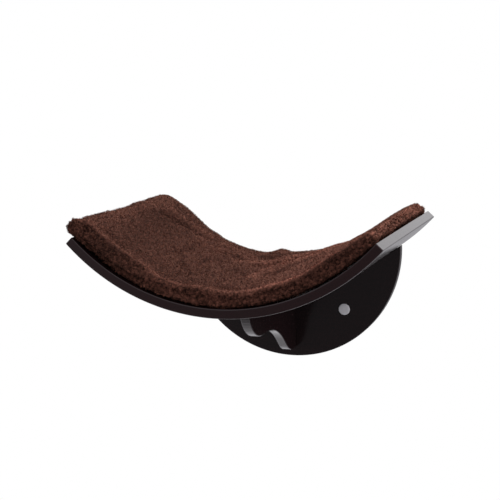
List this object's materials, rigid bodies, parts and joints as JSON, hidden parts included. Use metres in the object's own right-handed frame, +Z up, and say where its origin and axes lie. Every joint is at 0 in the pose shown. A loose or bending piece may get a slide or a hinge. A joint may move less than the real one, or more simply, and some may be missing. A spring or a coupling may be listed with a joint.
{
  "type": "wall-mounted cat bed",
  "caption": "Curved dark plywood cat bed on a half-round wall plate with a scrolled rib under it and a removable brown fleece cushion in its hollow.",
  "frame": {"origin": "on the wall plate's flat back face, midway between its two wall screws", "axes": "+X along the board towards the right end as seen from the room, +Y into the wall, +Z up; the room lies towards -Y"},
  "size_m": [0.409, 0.28, 0.2345],
  "materials": {
    "dark_lacquer": "satin espresso-brown lacquer on plywood",
    "zinc_steel": "bright zinc plate",
    "cap_grey": "silver-grey satin moulding",
    "hook_and_loop": "black woven nylon",
    "brown_fleece": "curly brown teddy fleece over soft filling"
  },
  "bodies": {
    "frame": {"curved_board": "dark_lacquer", "wall_plate": "dark_lacquer", "support_rib": "dark_lacquer", "board_screw_front": "zinc_steel", "board_screw_rear": "zinc_steel", "board_screw_left": "zinc_steel", "board_screw_right": "zinc_steel", "rib_screw_upper": "zinc_steel", "rib_screw_lower": "zinc_steel", "wall_screw_left": "zinc_steel", "wall_screw_right": "zinc_steel", "screw_cap_left": "cap_grey", "screw_cap_right": "cap_grey", "hook_tab_left_front": "hook_and_loop", "hook_tab_left_rear": "hook_and_loop", "hook_tab_right_front": "hook_and_loop", "hook_tab_right_rear": "hook_and_loop"},
    "cushion_pad": {"cushion": "brown_fleece", "loop_tab_left_front": "hook_and_loop", "loop_tab_left_rear": "hook_and_loop", "loop_tab_right_front": "hook_and_loop", "loop_tab_right_rear": "hook_and_loop"}
  },
  "joints": [
    {"name": "cushion_lift", "type": "slide", "parent": "frame", "child": "cushion_pad", "axis": [0, 0, 1], "range_m": [0, 0.12]}
  ]
}
